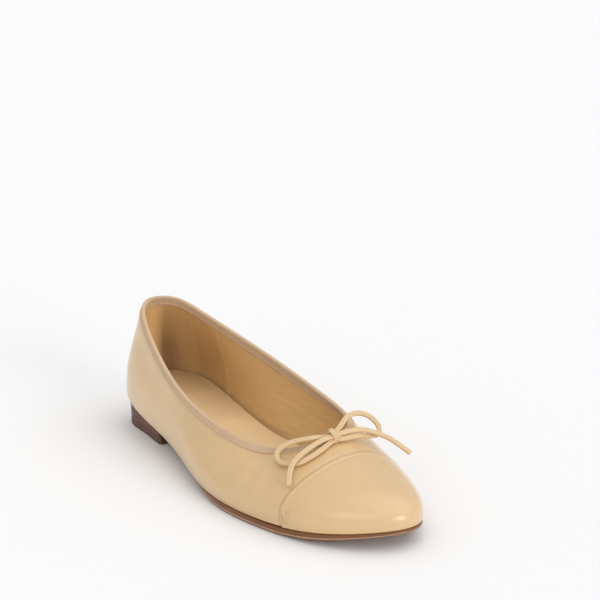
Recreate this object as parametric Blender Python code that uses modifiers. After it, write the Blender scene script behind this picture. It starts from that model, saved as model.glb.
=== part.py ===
"""Ballet slipper for the right foot: leather upper with a separate toe cap, ribbon-bound topline, small bow,
leather sole and a low stacked heel. Metres, +Z up, +X towards the toe, +Y towards the inner side of the foot.
The origin is the middle of the face that the heel stands on."""

import math

import bmesh
import bpy
import numpy as np

MM = 0.001
GAP = 0.3 * MM  # left between touching pieces
DOWN = np.array([0.0, 0.0, -1.0])

# --- Driving dimensions -------------------------------------------------------------------------------
LAST_BACK = -27.0 * MM  # x of the last's back point
BREAST = 51.5 * MM  # length of the heel, from the last's back point
SEAT_RISE = 14.3 * MM  # how much higher the insole lies at the back of the heel
TOE_SPRING = 7.6 * MM  # and at the tip of the toe
MARGIN = 9.0 * MM  # leather turned in under the insole board

LINING = 0.6 * MM
UPPER = 1.0 * MM
CAP = 1.0 * MM
STIFFENER = 0.8 * MM
PUFF = 0.5 * MM
COUNTER_ROOM = 1.1 * MM  # how far the upper stands out over the heel counter
UPPER_AT = 1.0 * MM  # distance of the upper's inner face from the last
UNDERLAP_AT = 0.95 * MM  # the same where the vamp is skived under the cap
UNDERLAP = 0.45 * MM  # thickness of that skived edge and of the toe puff
CAP_AT = 1.7 * MM
EDGE_LINING = 0.3 * MM  # thicknesses skived down for the binding, at the topline
EDGE_UPPER = 0.5 * MM
EDGE_AT = 0.6 * MM  # and the upper's distance from the last there

OUTSOLE_FRONT = 3.6 * MM
OUTSOLE_WAIST = 2.5 * MM
OUTSOLE_PROUD = 3.0 * MM  # sole edge beyond the last in front
HEEL_BACK = 4.4 * MM  # edge of the sole and the heel beyond the last, at the back and at the heel's sides
HEEL_SIDE = -2.2 * MM
TOE_TAPER = 1.5 * MM  # how much thinner the outsole is at the tip of the toe
INSOLE = 1.7 * MM
PAD = 1.9 * MM
PAD_RIM = 0.4 * MM  # thickness of the heel pad at its edge
PAD_END = 72.0 * MM
SOCK = 0.9 * MM
BALL_HEIGHT = UPPER_AT + UPPER + GAP + OUTSOLE_FRONT  # insole board's underside over the ball of the foot
TOP_PIECE = 4.0 * MM
TOP_PIECE_INSET = 0.3 * MM
LIFTS = 3
LIFT_STEP = 0.15 * MM  # how much less each lift stands out than the one over it
FILLER_BACK = 134.0 * MM

RIBBON = 0.4 * MM  # binding's thickness
FOLD = 0.85 * MM  # half the room inside its fold
FLARE = 0.9 * MM  # how much wider the outer leg stands over the full thickness of the upper
FLARE_REACH = 1.6 * MM
FOLD_REST = 0.5 * MM  # height over the topline where the fold starts to round over, and the round's height
FOLD_ROUND = 0.6 * MM
OUTER_LEG = 3.7 * MM  # how far the binding reaches below the topline
INNER_LEG = 4.7 * MM
TOPLINE_CORD = 0.5 * MM  # diameter
TOPLINE_CORD_RISE = 0.55 * MM

SHANK = 1.4 * MM
SHANK_HALF = 5.5 * MM
SHANK_ENDS = (38.0 * MM, 128.0 * MM)
RIVETS = (47.0 * MM, 118.0 * MM)
RIVET = 1.5 * MM  # radii of a rivet and its hole, and half its height
RIVET_HOLE = 1.9 * MM
RIVET_REACH = 1.9 * MM
NAILS = ((17.0, 0.0), (26.0, -9.0), (26.0, 9.0), (40.0, -11.0), (40.0, 11.0))
NAIL_TIP = 0.5 * MM  # radii of a nail's lower and upper end, and of its hole
NAIL_HEAD = 0.8 * MM
NAIL_HOLE = 1.2 * MM

CAP_SEAM = 190.0 * MM  # places along the shoe, from the last's back point
VAMP_EDGE = 198.0 * MM
LINING_SEAM = 38.0 * MM

LACE = 2.6 * MM  # diameter of the bow's lace
KNOT_AT = (179.4 * MM, 3.6 * MM, 42.0 * MM)
KNOT_RADII = (2.4 * MM, 2.2 * MM, 3.3 * MM)

# The last, in 16 places round the foot from the back of the heel, outer side first. Each row: feather edge
# x, y; topline x, y, z (millimetres); the wall's lean (degrees above level) and reach (mm) at the feather edge, and
# its slope (degrees below level) and reach at the topline.
LAST = np.array(
    [
        (1.6, 0.0, 5.8, 0.0, 71.0, 84, 19, 68, 20),  # back of the heel
        (8.4, -18.2, 10.4, -11.0, 69.0, 85, 18, 76, 19),
        (33.3, -26.5, 30.5, -19.0, 58.9, 73, 15, 80, 16),
        (80.0, -31.4, 74.0, -28.2, 44.6, 64, 13, 82, 13),  # outer waist
        (117.5, -39.2, 115.0, -30.3, 36.0, 63, 12, 76, 12),
        (151.0, -41.0, 146.0, -26.8, 32.6, 64, 12, 58, 13),  # outer ball
        (184.0, -35.0, 163.0, -19.6, 32.6, 68, 12, 38, 18),
        (214.0, -22.0, 172.0, -9.5, 34.9, 72, 12, 26, 28),
        (235.3, 4.0, 175.0, 2.5, 36.5, 76, 12, 20, 36),  # toe tip, throat
        (224.5, 22.0, 173.0, 13.0, 37.4, 72, 11.5, 27, 27),
        (201.5, 32.0, 164.5, 23.3, 37.9, 67, 11.5, 43, 18),
        (174.0, 36.3, 147.5, 30.0, 39.2, 64, 12, 60, 14),  # inner ball
        (132.0, 29.0, 116.0, 31.0, 43.8, 62, 12, 78, 12),
        (92.0, 22.0, 75.0, 27.6, 51.9, 66, 13, 82, 13),  # arch
        (33.5, 25.3, 30.5, 18.5, 63.1, 71, 15, 78, 16),
        (8.0, 18.6, 11.0, 10.8, 69.5, 82, 18, 74, 19),
    ]
)

# Routes of the lace from the knot, in millimetres from the last's back point.
LOOP_OUTER = [
    (176.8, 0.0, 40.4), (176.3, -7.5, 41.3), (171.0, -14.8, 39.4), (168.7, -20.0, 37.2), (168.4, -23.6, 34.2),
    (171.9, -25.2, 31.8), (176.6, -24.0, 31.3), (181.9, -19.2, 32.4), (183.2, -12.2, 34.9),
    (182.6, -6.0, 36.8), (180.9, -0.2, 38.3),
]
LOOP_INNER = [
    (177.0, 7.4, 42.6), (176.0, 10.6, 44.4), (172.5, 16.5, 46.2), (170.8, 24.0, 46.4), (173.5, 29.2, 44.8),
    (178.5, 31.5, 41.5), (182.4, 30.2, 38.6), (183.0, 26.0, 37.4), (181.6, 17.5, 38.8), (180.9, 7.6, 39.0),
]
TAIL_OUTER = [
    (180.0, -0.4, 41.0), (180.2, -5.0, 40.4), (180.2, -10.2, 38.8), (181.0, -17.6, 36.2), (182.4, -23.2, 33.4),
    (184.6, -26.8, 29.8), (189.2, -30.4, 25.6),
]
TAIL_INNER = [
    (179.8, 7.6, 41.6), (180.2, 13.2, 41.9), (182.0, 21.3, 41.3), (188.8, 30.2, 37.6), (194.8, 34.0, 34.2),
    (199.6, 37.2, 30.9),
]


# --- The last -----------------------------------------------------------------------------------------
def unit(vectors):
    return vectors / np.linalg.norm(vectors, axis=-1, keepdims=True)


def closed_spline(knots, at):
    """Places 0 to 1 along the smooth closed curve through evenly spaced knots."""
    knots = np.asarray(knots, float)
    count = len(knots)
    ring = np.eye(count)
    system = 4 * ring + np.roll(ring, 1, 0) + np.roll(ring, -1, 0)
    slope = np.linalg.solve(system, 3 * (np.roll(knots, -1, 0) - np.roll(knots, 1, 0)))
    place = np.mod(at, 1.0) * count
    first = np.floor(place).astype(int) % count
    second = (first + 1) % count
    u = (place - np.floor(place))[..., None]
    return (
        (2 * u**3 - 3 * u**2 + 1) * knots[first]
        + (u**3 - 2 * u**2 + u) * slope[first]
        + (3 * u**2 - 2 * u**3) * knots[second]
        + (u**3 - u**2) * slope[second]
    )


def sole_height(x):
    """Height of the insole board's underside, x from the last's back point."""
    seat = np.clip((150 * MM - x) / (148 * MM), 0, None) ** 1.6
    toe = np.clip((x - 160 * MM) / (75 * MM), 0, None) ** 2
    return BALL_HEIGHT + SEAT_RISE * seat + TOE_SPRING * toe


def smooth(x, low, high):
    """0 below low, 1 above high, eased between."""
    u = np.clip((x - low) / (high - low), 0, 1)
    return u * u * (3 - 2 * u)


def outward(t, step=1e-4):
    """Level direction away from the foot, at each place round the feather edge."""
    along = closed_spline(LAST[:, :2], t + step) - closed_spline(LAST[:, :2], t - step)
    return unit(np.stack([along[..., 1], -along[..., 0], 0 * along[..., 0]], -1))


def topline_outward(t, step=1e-4):
    along = closed_spline(LAST[:, 2:4], t + step) - closed_spline(LAST[:, 2:4], t - step)
    return unit(np.stack([along[..., 1], -along[..., 0], 0 * along[..., 0]], -1))


def feather(t):
    flat = closed_spline(LAST[:, :2], t) * MM
    return np.stack([flat[..., 0], flat[..., 1], sole_height(flat[..., 0])], -1)


def wall(t, s):
    """The last's side, from the feather edge at s = 0 to the topline at s = 1."""
    lean, reach, slope, hold = np.moveaxis(closed_spline(LAST[:, 5:9], t), -1, 0)
    lean, slope = np.radians(lean)[..., None], np.radians(slope)[..., None]
    low = feather(t)
    high = closed_spline(LAST[:, 2:5], t) * MM
    out_low, out_high = outward(t), topline_outward(t)
    a = low + reach[..., None] * MM * (np.cos(lean) * out_low - np.sin(lean) * DOWN)
    b = high + hold[..., None] * MM * (np.cos(slope) * out_high + np.sin(slope) * DOWN)
    s = np.asarray(s, float)[..., None]
    return (1 - s) ** 3 * low + 3 * (1 - s) ** 2 * s * a + 3 * (1 - s) * s**2 * b + s**3 * high


def wall_frame(t, s, step=1e-3):
    """Outward normal and upward direction on the last's side."""
    low, high = np.clip(s - step, 0, 1), np.clip(s + step, 0, 1)
    up = unit(wall(t, high) - wall(t, low))
    along = wall(t + step, s) - wall(t - step, s)
    return unit(np.cross(along, up)), up


def skin(t, s, distance):
    """A place at a distance outside the last: s = 0 to 1 up the wall, 0 to -1 round the feather edge, and
    -1 to -2 in under the insole board."""
    t, s, distance = np.broadcast_arrays(np.asarray(t, float), np.asarray(s, float), distance)
    up_wall = np.clip(s, 0, 1)
    normal, _ = wall_frame(t, up_wall)
    turn = np.clip(-s, 0, 1)[..., None]
    normal = unit((1 - turn) * normal + turn * DOWN)
    point = wall(t, up_wall)
    inward = np.clip(-1 - s, 0, 1)[..., None] * MARGIN
    under = point - inward * outward(t)
    under[..., 2] = sole_height(under[..., 0])
    point = np.where(inward > 0, under, point)
    return point + distance[..., None] * normal


# --- The grid that every leather piece shares, so that layers stay parallel ---------------------------
def feather_at(x, low, high):
    """Place between low and high where the feather edge passes x."""
    rising = feather(np.array(high))[0] > feather(np.array(low))[0]
    for _ in range(50):
        middle = (low + high) / 2
        if (feather(np.array(middle))[0] < x) == rising:
            low = middle
        else:
            high = middle
    return (low + high) / 2


def wall_at(t, x):
    """How far up the wall the meridian t passes x, 0 where it starts behind x."""
    low, high = np.zeros_like(t), np.ones_like(t)
    for _ in range(40):
        middle = (low + high) / 2
        ahead = wall(t, middle)[..., 0] > x
        low, high = np.where(ahead, middle, low), np.where(ahead, high, middle)
    return np.where(feather(t)[..., 0] > x, low, 0.0)


CAP_OUTER, CAP_INNER = feather_at(CAP_SEAM, 0.30, 0.48), feather_at(CAP_SEAM, 0.52, 0.72)
VAMP_OUTER, VAMP_INNER = feather_at(VAMP_EDGE, 0.30, 0.48), feather_at(VAMP_EDGE, 0.52, 0.72)
SEAM_OUTER, SEAM_INNER = feather_at(LINING_SEAM, 0.10, 0.30), feather_at(LINING_SEAM, 0.72, 0.92)
SEAM_HALF = 0.0004


def spread(low, high, count):
    """Places from low to high, closer together at both ends."""
    u = np.linspace(0, 1, count + 1)
    return low + (high - low) * (0.35 * u + 0.65 * (1 - np.cos(math.pi * u)) / 2)


STEEP = np.array([0.0, 0.04, 0.12, 0.32, 0.65])  # columns where the cap's edge climbs from the sole
COLUMNS = np.concatenate(
    [
        np.linspace(0, SEAM_OUTER - SEAM_HALF, 7),
        np.linspace(SEAM_OUTER + SEAM_HALF, CAP_OUTER, 13)[:-1],
        CAP_OUTER + (VAMP_OUTER - CAP_OUTER) * STEEP,
        spread(VAMP_OUTER, VAMP_INNER, 16),
        CAP_INNER + (VAMP_INNER - CAP_INNER) * STEEP[::-1],
        np.linspace(CAP_INNER, SEAM_INNER - SEAM_HALF, 14)[1:],
        np.linspace(SEAM_INNER + SEAM_HALF, 1, 7)[:-1],
    ]
)


def column(t):
    return int(np.argmin(np.abs(COLUMNS - t)))


TUCK = [-2.0, -1.0, -0.5]
UNDER_CAP = [0.0, 0.3, 0.6, 0.92, 1.0]  # shares of the wall below the vamp's front edge
ABOVE_CAP = [0.0, 0.03, 0.15, 0.32, 0.5, 0.68, 0.87, 1.0]  # and above the cap's edge
FEATHER_ROW = len(TUCK)
VAMP_ROW = FEATHER_ROW + len(UNDER_CAP) - 1
CAP_ROW = VAMP_ROW + 1


def grid():
    """The s of each row at each column."""
    vamp_edge, cap_edge = wall_at(COLUMNS, VAMP_EDGE), wall_at(COLUMNS, CAP_SEAM)
    rows = [np.full_like(COLUMNS, s) for s in TUCK]
    rows += [share * vamp_edge for share in UNDER_CAP]
    rows += [cap_edge + share * (1 - cap_edge) for share in ABOVE_CAP]
    return np.array(rows)


ROWS = grid()
TOP_ROW = len(ROWS) - 1


# --- Objects ------------------------------------------------------------------------------------------
def start():
    for thing in list(bpy.data.objects):
        bpy.data.objects.remove(thing, do_unlink=True)
    collections = []
    for name in ("ballet_slipper", "cutters"):
        made = bpy.data.collections.new(name)
        bpy.context.scene.collection.children.link(made)
        collections.append(made)
    return collections


PARTS, CUTTERS = start()


def material(name, colour, roughness, metallic=0.0):
    made = bpy.data.materials.new(name)
    made.use_nodes = True
    shader = made.node_tree.nodes["Principled BSDF"]
    shader.inputs["Base Color"].default_value = (*colour, 1)
    shader.inputs["Roughness"].default_value = roughness
    shader.inputs["Metallic"].default_value = metallic
    return made


LEATHER = material("beige_leather", (0.73, 0.50, 0.27), 0.42)
RIBBON_CLOTH = material("taupe_ribbon", (0.58, 0.42, 0.31), 0.75)
LINING_LEATHER = material("tan_lining", (0.52, 0.31, 0.14), 0.6)
SOCK_LEATHER = material("beige_sock", (0.68, 0.48, 0.24), 0.55)
SOLE_LEATHER = material("brown_sole", (0.20, 0.08, 0.04), 0.5)
HEEL_LEATHER = material("stacked_heel", (0.19, 0.09, 0.05), 0.45)
RUBBER = material("dark_rubber", (0.07, 0.045, 0.035), 0.7)
BOARD = material("fibre_board", (0.45, 0.33, 0.20), 0.9)
STIFF = material("stiffener", (0.75, 0.70, 0.60), 0.85)
CORK = material("cork_filler", (0.42, 0.26, 0.13), 0.95)
FOAM = material("latex_foam", (0.85, 0.80, 0.68), 0.95)
STEEL = material("steel", (0.60, 0.60, 0.60), 0.35, 1.0)
CORD = material("cotton_cord", (0.80, 0.76, 0.68), 0.9)


def keep(name, mesh, finish, collection=PARTS, angle=40):
    """An object from a mesh whose points are measured from the last's back point."""
    for vertex in mesh.vertices:
        vertex.co.x += LAST_BACK
    mesh.shade_smooth()
    mesh.set_sharp_from_angle(angle=math.radians(angle))
    mesh.materials.append(finish)
    thing = bpy.data.objects.new(name, mesh)
    collection.objects.link(thing)
    return thing


def finish_mesh(name, bm, weld=0.02 * MM):
    bmesh.ops.remove_doubles(bm, verts=bm.verts[:], dist=weld)
    bmesh.ops.dissolve_degenerate(bm, edges=bm.edges[:], dist=weld)
    mesh = bpy.data.meshes.new(name)
    bm.to_mesh(mesh)
    bm.free()
    return mesh


def leather(name, cells, distance, thickness, finish, share=None):
    """A leather piece: the grid's chosen cells as an open surface, thickened away from the foot, by less
    where share of the thickness is under 1."""
    bm = bmesh.new()
    weights = bm.verts.layers.deform.verify()
    points = skin(COLUMNS[None, :], ROWS, distance)
    corners = {}

    def corner(row, place):
        key = (row, place % len(COLUMNS))
        if key not in corners:
            corners[key] = bm.verts.new(points[key])
            corners[key][weights][0] = 1.0 if share is None else share[key]
        return corners[key]

    for row, place in cells:
        low = [corner(row, place), corner(row, place + 1)]
        ring = low + [corner(row + 1, place + 1), corner(row + 1, place)]
        bm.faces.new(ring)
    made = keep(name, finish_mesh(name, bm), finish)
    solid = made.modifiers.new("thickness", "SOLIDIFY")
    solid.thickness = thickness
    solid.offset = 1.0
    solid.vertex_group = made.vertex_groups.new(name="thickness").name
    return made


def cells(first_column, last_column, rows):
    count = len(COLUMNS)
    span = (last_column - first_column) % count or count
    return [(row, (first_column + i) % count) for row in rows for i in range(span)]


def outline(proud):
    """The feather edge as a flat outline, moved out by proud, a length or a function of x."""
    edge = feather(COLUMNS)
    move = proud(edge[:, 0]) if callable(proud) else proud
    return (edge + outward(COLUMNS) * np.reshape(move, (-1, 1)))[:, :2]


def plank(name, edge, top, bottom, finish, behind=None, ahead=None, across=(), step=8 * MM):
    """A flat piece inside an outline, cut off straight at behind and ahead, and bent to two heights."""
    bm = bmesh.new()
    bm.faces.new([bm.verts.new((x, y, 0)) for x, y in edge])

    def cut(place, normal, **clear):
        geometry = bm.verts[:] + bm.edges[:] + bm.faces[:]
        bmesh.ops.bisect_plane(bm, geom=geometry, dist=1e-7, plane_co=place, plane_no=normal, **clear)

    if ahead is not None:
        cut((ahead, 0, 0), (1, 0, 0), clear_outer=True)
    if behind is not None:
        cut((behind, 0, 0), (1, 0, 0), clear_inner=True)
    low = min(v.co.x for v in bm.verts)
    high = max(v.co.x for v in bm.verts)
    pieces = max(2, round((high - low) / step))
    for i in range(1, pieces):
        cut((low + (high - low) * i / pieces, 0, 0), (1, 0, 0))
    for y in across:
        cut((0, y, 0), (0, 1, 0))
    lower = bm.faces[:]
    raised = bmesh.ops.extrude_face_region(bm, geom=lower)
    upper = {g for g in raised["geom"] if isinstance(g, bmesh.types.BMVert)}
    for vertex in bm.verts:
        height = top if vertex in upper else bottom
        vertex.co.z = height(vertex.co.x, vertex.co.y)
    bmesh.ops.recalc_face_normals(bm, faces=bm.faces[:])
    return keep(name, finish_mesh(name, bm), finish)


def above(rise):
    """A height measured from the insole board's underside."""
    return lambda x, y: float(sole_height(x)) + rise


def pin(name, x, y, low, high, radius_low, radius_high, finish, collection=PARTS, sides=12):
    bm = bmesh.new()
    bmesh.ops.create_cone(
        bm, cap_ends=True, segments=sides, radius1=radius_low, radius2=radius_high, depth=high - low
    )
    bmesh.ops.translate(bm, verts=bm.verts[:], vec=(x, y, (low + high) / 2))
    mesh = bpy.data.meshes.new(name)
    bm.to_mesh(mesh)
    bm.free()
    return keep(name, mesh, finish, collection)


def drill(things, name, x, y, radius):
    """A clearance hole straight down through several pieces."""
    cutter = pin(name, x, y, -5 * MM, 40 * MM, radius, radius, STEEL, CUTTERS, 10)
    cutter.hide_render = True
    cutter.display_type = "WIRE"
    for thing in things:
        hole = thing.modifiers.new(name, "BOOLEAN")
        hole.operation = "DIFFERENCE"
        hole.object = cutter


def smooth_route(points, spacing):
    """Points a spacing apart on the smooth curve through a few route points."""
    points = np.asarray(points, float)
    ends = np.vstack([2 * points[0] - points[1], points, 2 * points[-1] - points[-2]])
    fine = []
    for a, b, c, d in zip(ends, ends[1:], ends[2:], ends[3:]):
        for u in np.linspace(0, 1, 40, endpoint=False):
            fine.append(
                b
                + (c - a) * u / 2
                + (2 * a - 5 * b + 4 * c - d) * u**2 / 2
                + (3 * b - a - 3 * c + d) * u**3 / 2
            )
    fine = np.array(fine + [points[-1]])
    along = np.concatenate([[0], np.cumsum(np.linalg.norm(np.diff(fine, axis=0), axis=1))])
    places = np.linspace(0, along[-1], max(2, round(along[-1] / spacing)) + 1)
    return np.stack([np.interp(places, along, fine[:, k]) for k in range(3)], -1)


def tube(name, points, diameter, finish, closed=False, resolution=2):
    curve = bpy.data.curves.new(name, "CURVE")
    curve.dimensions = "3D"
    curve.bevel_depth = diameter / 2
    curve.bevel_resolution = resolution
    curve.use_fill_caps = not closed
    spline = curve.splines.new("POLY")
    spline.points.add(len(points) - 1)
    for place, (x, y, z) in zip(spline.points, points):
        place.co = (x + LAST_BACK, y, z, 1)
    spline.use_cyclic_u = closed
    curve.materials.append(finish)
    made = bpy.data.objects.new(name, curve)
    PARTS.objects.link(made)
    return made


# --- Leather round the foot ---------------------------------------------------------------------------
def under_cap():
    """1 at the grid's points that the toe cap covers."""
    covered = np.zeros_like(ROWS)
    outer, inner = column(CAP_OUTER), column(CAP_INNER)
    covered[: CAP_ROW + 1, outer : inner + 1] = 1.0
    for place in (outer, outer + 1, outer + 2, outer + 3, inner - 3, inner - 2, inner - 1, inner):
        covered[CAP_ROW + 1, place] = 1.0
    return covered


def at_topline():
    """1 at the grid's top row, under the binding."""
    top = np.zeros_like(ROWS)
    top[TOP_ROW] = 1.0
    return top


def stand_off():
    """The upper's inner face: out over the heel counter, in where it is skived for the cap and the binding."""
    heel = np.minimum(COLUMNS, 1 - COLUMNS)[None, :]
    share = np.clip(ROWS, 0, 1)
    over_counter = (1 - smooth(heel, 0.15, 0.21)) * smooth(share, 0, 0.03) * (1 - smooth(share, 0.64, 0.82))
    skived = (UPPER_AT - UNDERLAP_AT) * under_cap() + (UPPER_AT - EDGE_AT) * at_topline()
    return UPPER_AT + COUNTER_ROOM * over_counter - skived


def upper():
    outer, inner = column(VAMP_OUTER), column(VAMP_INNER)
    whole = cells(inner, outer, range(TOP_ROW))
    front = cells(outer, inner, range(VAMP_ROW, TOP_ROW))
    skived = 1 - (1 - UNDERLAP / UPPER) * under_cap() - (1 - EDGE_UPPER / UPPER) * at_topline()
    return leather("upper", whole + front, stand_off(), UPPER, LEATHER, skived)


def toe_cap():
    area = cells(column(CAP_OUTER), column(CAP_INNER), range(CAP_ROW))
    return leather("toe_cap", area, CAP_AT, CAP, LEATHER)


def linings():
    outer, inner = column(SEAM_OUTER - SEAM_HALF), column(SEAM_INNER + SEAM_HALF)
    rows = range(TOP_ROW)
    skived = 1 - (1 - EDGE_LINING / LINING) * at_topline()
    leather("quarter_lining", cells(inner, outer, rows), 0.0, LINING, LINING_LEATHER, skived)
    leather("vamp_lining", cells(outer + 1, inner - 1, rows), 0.0, LINING, LINING_LEATHER, skived)


def stiffeners():
    side = column(0.14)
    back = cells(column(0.86), side, range(CAP_ROW + 1, TOP_ROW - 2))
    leather("heel_counter", back, UNDERLAP_AT, STIFFENER, STIFF)
    front = cells(column(VAMP_OUTER) + 1, column(VAMP_INNER) - 1, range(FEATHER_ROW, VAMP_ROW - 1))
    leather("toe_puff", front, UNDERLAP_AT, UNDERLAP, STIFF)


def binding():
    """A ribbon folded over the topline, and the cord inside its fold."""
    t = COLUMNS
    edge = wall(t, np.ones_like(t))
    normal, up = wall_frame(t, np.ones_like(t))
    middle = (EDGE_AT + EDGE_UPPER) / 2
    arc = np.linspace(0, math.pi, 6)

    def side(half, extra):
        """One face of the folded ribbon, as distances across and up from the leathers' edge."""
        fold = [(half * math.cos(a), FOLD_REST + (FOLD_ROUND + extra) * math.sin(a)) for a in arc]
        return [(half + FLARE, -OUTER_LEG), (half + FLARE, -FLARE_REACH)] + fold + [(-half, -INNER_LEG)]

    profile_points = side(FOLD + RIBBON, RIBBON) + side(FOLD, 0.0)[::-1]
    height = np.linalg.norm(edge - wall(t, np.full_like(t, 0.99)), axis=-1) / 0.01

    def place(across, rise):
        """Beside the wall below the topline, and square to it above."""
        beside = skin(t, 1 + min(rise, 0) / height, middle + across)
        return beside + up * max(rise, 0)

    bm = bmesh.new()
    profile = [place(across, rise) for across, rise in profile_points]
    rings = [[bm.verts.new(points[i]) for points in profile] for i in range(len(t))]
    for ring, after in zip(rings, rings[1:] + rings[:1]):
        for i in range(len(ring)):
            j = (i + 1) % len(ring)
            bm.faces.new([ring[i], ring[j], after[j], after[i]])
    bmesh.ops.recalc_face_normals(bm, faces=bm.faces[:])
    keep("topline_binding", finish_mesh("topline_binding", bm), RIBBON_CLOTH)
    route = edge + normal * middle + up * TOPLINE_CORD_RISE
    tube("topline_cord", route, TOPLINE_CORD, CORD, closed=True, resolution=1)


# --- Sole and heel ------------------------------------------------------------------------------------
def outsole_top(x, y=0.0):
    drop = UPPER_AT + UPPER + GAP
    cap_drop = CAP_AT + CAP + GAP
    return float(sole_height(x) - drop - (cap_drop - drop) * smooth(x, 168 * MM, CAP_SEAM - 1 * MM))


def outsole_bottom(x, y=0.0):
    thick = OUTSOLE_WAIST + (OUTSOLE_FRONT - OUTSOLE_WAIST) * smooth(x, 85 * MM, 150 * MM)
    return float(outsole_top(x) - thick + TOE_TAPER * smooth(x, 200 * MM, 240 * MM))


def heel_edge(x, inset=0.0):
    """How far the heel stands out beyond the last."""
    return HEEL_BACK + (HEEL_SIDE - HEEL_BACK) * smooth(x, -6 * MM, 34 * MM) - inset


def sole_edge(x):
    return heel_edge(x) + (OUTSOLE_PROUD - HEEL_SIDE) * smooth(x, 74 * MM, 155 * MM)


def lift_level(share):
    """Height of a lift's face, 0 on the top piece and 1 under the outsole."""
    low = TOP_PIECE + GAP

    def level(x, y=0.0):
        return low + share * (outsole_bottom(x) - GAP - low)

    return level


def pad_crown(x, y):
    """0 at the heel pad's rim and 1 over its middle."""
    half = 22 * MM
    return float(smooth(PAD_END - x, 0, 30 * MM) * (1 - smooth(abs(y), 0.4 * half, half)))


def sole_pieces():
    made = {}
    made["outsole"] = plank("outsole", outline(sole_edge), outsole_top, outsole_bottom, SOLE_LEATHER)
    made["insole_board"] = plank("insole_board", outline(-1.0 * MM), above(GAP + INSOLE), above(GAP), BOARD)
    floor = GAP + INSOLE + GAP
    grain = [i * 8 * MM for i in range(-3, 4)]
    made["heel_pad"] = plank(
        "heel_pad",
        outline(-3.5 * MM),
        lambda x, y: float(sole_height(x)) + floor + PAD_RIM + (PAD - PAD_RIM) * pad_crown(x, y),
        above(floor),
        FOAM,
        ahead=PAD_END,
        across=grain,
    )
    under_sock = floor + PAD_RIM + GAP

    def sock_bottom(x, y):
        return float(sole_height(x)) + under_sock + (PAD - PAD_RIM) * pad_crown(x, y)

    made["sock"] = plank(
        "sock",
        outline(-1.9 * MM),
        lambda x, y: sock_bottom(x, y) + SOCK,
        sock_bottom,
        SOCK_LEATHER,
        across=grain,
    )
    made["bottom_filler"] = plank(
        "bottom_filler",
        outline(-MARGIN - 0.8 * MM),
        above(0),
        lambda x, y: outsole_top(x) + GAP,
        CORK,
        behind=FILLER_BACK,
    )
    for i in range(LIFTS):
        spare = GAP / 2
        low, high = lift_level(i / LIFTS), lift_level((i + 1) / LIFTS)
        raise_low = 0.0 if i == 0 else spare
        drop_high = 0.0 if i == LIFTS - 1 else spare
        inset = LIFT_STEP * (LIFTS - i)
        made[f"heel_lift_{i + 1}"] = plank(
            f"heel_lift_{i + 1}",
            outline(lambda x, inset=inset: heel_edge(x, inset)),
            lambda x, y, high=high, drop=drop_high: high(x) - drop,
            lambda x, y, low=low, rise=raise_low: low(x) + rise,
            HEEL_LEATHER,
            ahead=BREAST,
        )
    plank(
        "top_piece",
        outline(lambda x: heel_edge(x, TOP_PIECE_INSET)),
        lambda x, y: TOP_PIECE,
        lambda x, y: 0.0,
        RUBBER,
        ahead=BREAST,
        step=60 * MM,
    )
    return made


def shank():
    """A steel strip under the board's waist, with round ends."""
    half = SHANK_HALF
    back, front = SHANK_ENDS
    turn = np.linspace(-math.pi / 2, math.pi / 2, 7)
    nose = [(front - half + half * math.cos(a), half * math.sin(a)) for a in turn]
    tail = [(back + half - half * math.cos(a), -half * math.sin(a)) for a in turn]
    return plank("shank", nose + tail, above(0), above(-SHANK), STEEL)


def rivets(board, strip):
    for i, x in enumerate(RIVETS):
        base = float(sole_height(x))
        pin(f"shank_rivet_{i + 1}", x, 0, base - RIVET_REACH, base + RIVET_REACH, RIVET, RIVET, STEEL)
        drill([board, strip], f"rivet_hole_{i + 1}", x, 0, RIVET_HOLE)


def nails(made):
    """Nails from the insole board down into the heel."""
    drilled = [made[name] for name in ("insole_board", "outsole", "heel_lift_3", "heel_lift_2")]
    for i, (x, y) in enumerate(NAILS):
        x, y = x * MM, y * MM
        low = lift_level(1 / LIFTS)(x) + GAP
        high = float(sole_height(x)) + INSOLE
        pin(f"heel_nail_{i + 1}", x, y, low, high, NAIL_TIP, NAIL_HEAD, STEEL, sides=8)
        drill(drilled, f"nail_hole_{i + 1}", x, y, NAIL_HOLE)


# --- Bow ----------------------------------------------------------------------------------------------
def bow():
    for name, route in (
        ("bow_loop_outer", LOOP_OUTER),
        ("bow_loop_inner", LOOP_INNER),
        ("bow_tail_outer", TAIL_OUTER),
        ("bow_tail_inner", TAIL_INNER),
    ):
        tube(name, smooth_route(np.array(route) * MM, 1.1 * LACE), LACE, LEATHER)
    bm = bmesh.new()
    bmesh.ops.create_uvsphere(bm, u_segments=12, v_segments=8, radius=1.0)
    for vertex in bm.verts:
        vertex.co = np.array(KNOT_AT) + np.array(KNOT_RADII) * vertex.co
    keep("bow_knot", finish_mesh("bow_knot", bm), LEATHER)


upper()
toe_cap()
linings()
stiffeners()
binding()
pieces = sole_pieces()
rivets(pieces["insole_board"], shank())
nails(pieces)
bow()
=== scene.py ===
"""Ballet slipper for the right foot, as it looks: smooth leather upper with a folded toe cap, ribbed ribbon
round the topline, a small tied bow, tan lining and sock, burnished leather sole and a low stacked heel.
Metres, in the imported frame: +Z up, +X towards the toe, +Y towards the inner side of the foot."""

import math

import bmesh
import bpy
import numpy as np
from mathutils import Matrix, Vector, noise


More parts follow.
